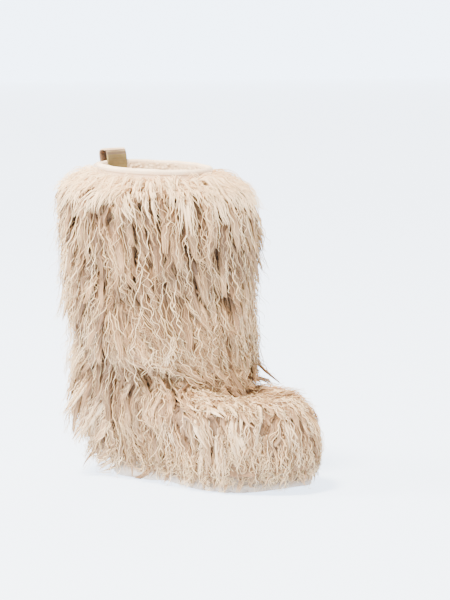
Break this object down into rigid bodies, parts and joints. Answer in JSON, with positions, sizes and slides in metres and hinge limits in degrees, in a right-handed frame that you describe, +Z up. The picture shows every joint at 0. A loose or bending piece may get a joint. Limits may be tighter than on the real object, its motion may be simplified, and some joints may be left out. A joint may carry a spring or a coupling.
{
  "type": "mukluk boot",
  "caption": "Mid-calf right boot with deep curly fur over shaft and foot, a hollow upper, a rolled collar, a pull loop at the back and a flat lugged sole.",
  "frame": {"origin": "on the floor under the middle of the heel", "axes": "+Z up, -Y towards the toe, -X towards the outer (little toe) side of this right boot"},
  "size_m": [0.1995, 0.3191, 0.3285],
  "materials": {
    "outsole": "cream, matte, moulded",
    "insole": "pale fleece",
    "skin": "beige suede skin with a fleece lining",
    "fur": "long curly cream fur, tan at the roots",
    "binding": "soft cream cloth",
    "webbing": "khaki beige webbing"
  },
  "bodies": {
    "root": {"outsole": "outsole", "insole": "insole", "upper": "skin", "foot_fur": "fur", "shaft_fur": "fur", "collar_binding": "binding", "pull_loop": "webbing"}
  },
  "joints": []
}
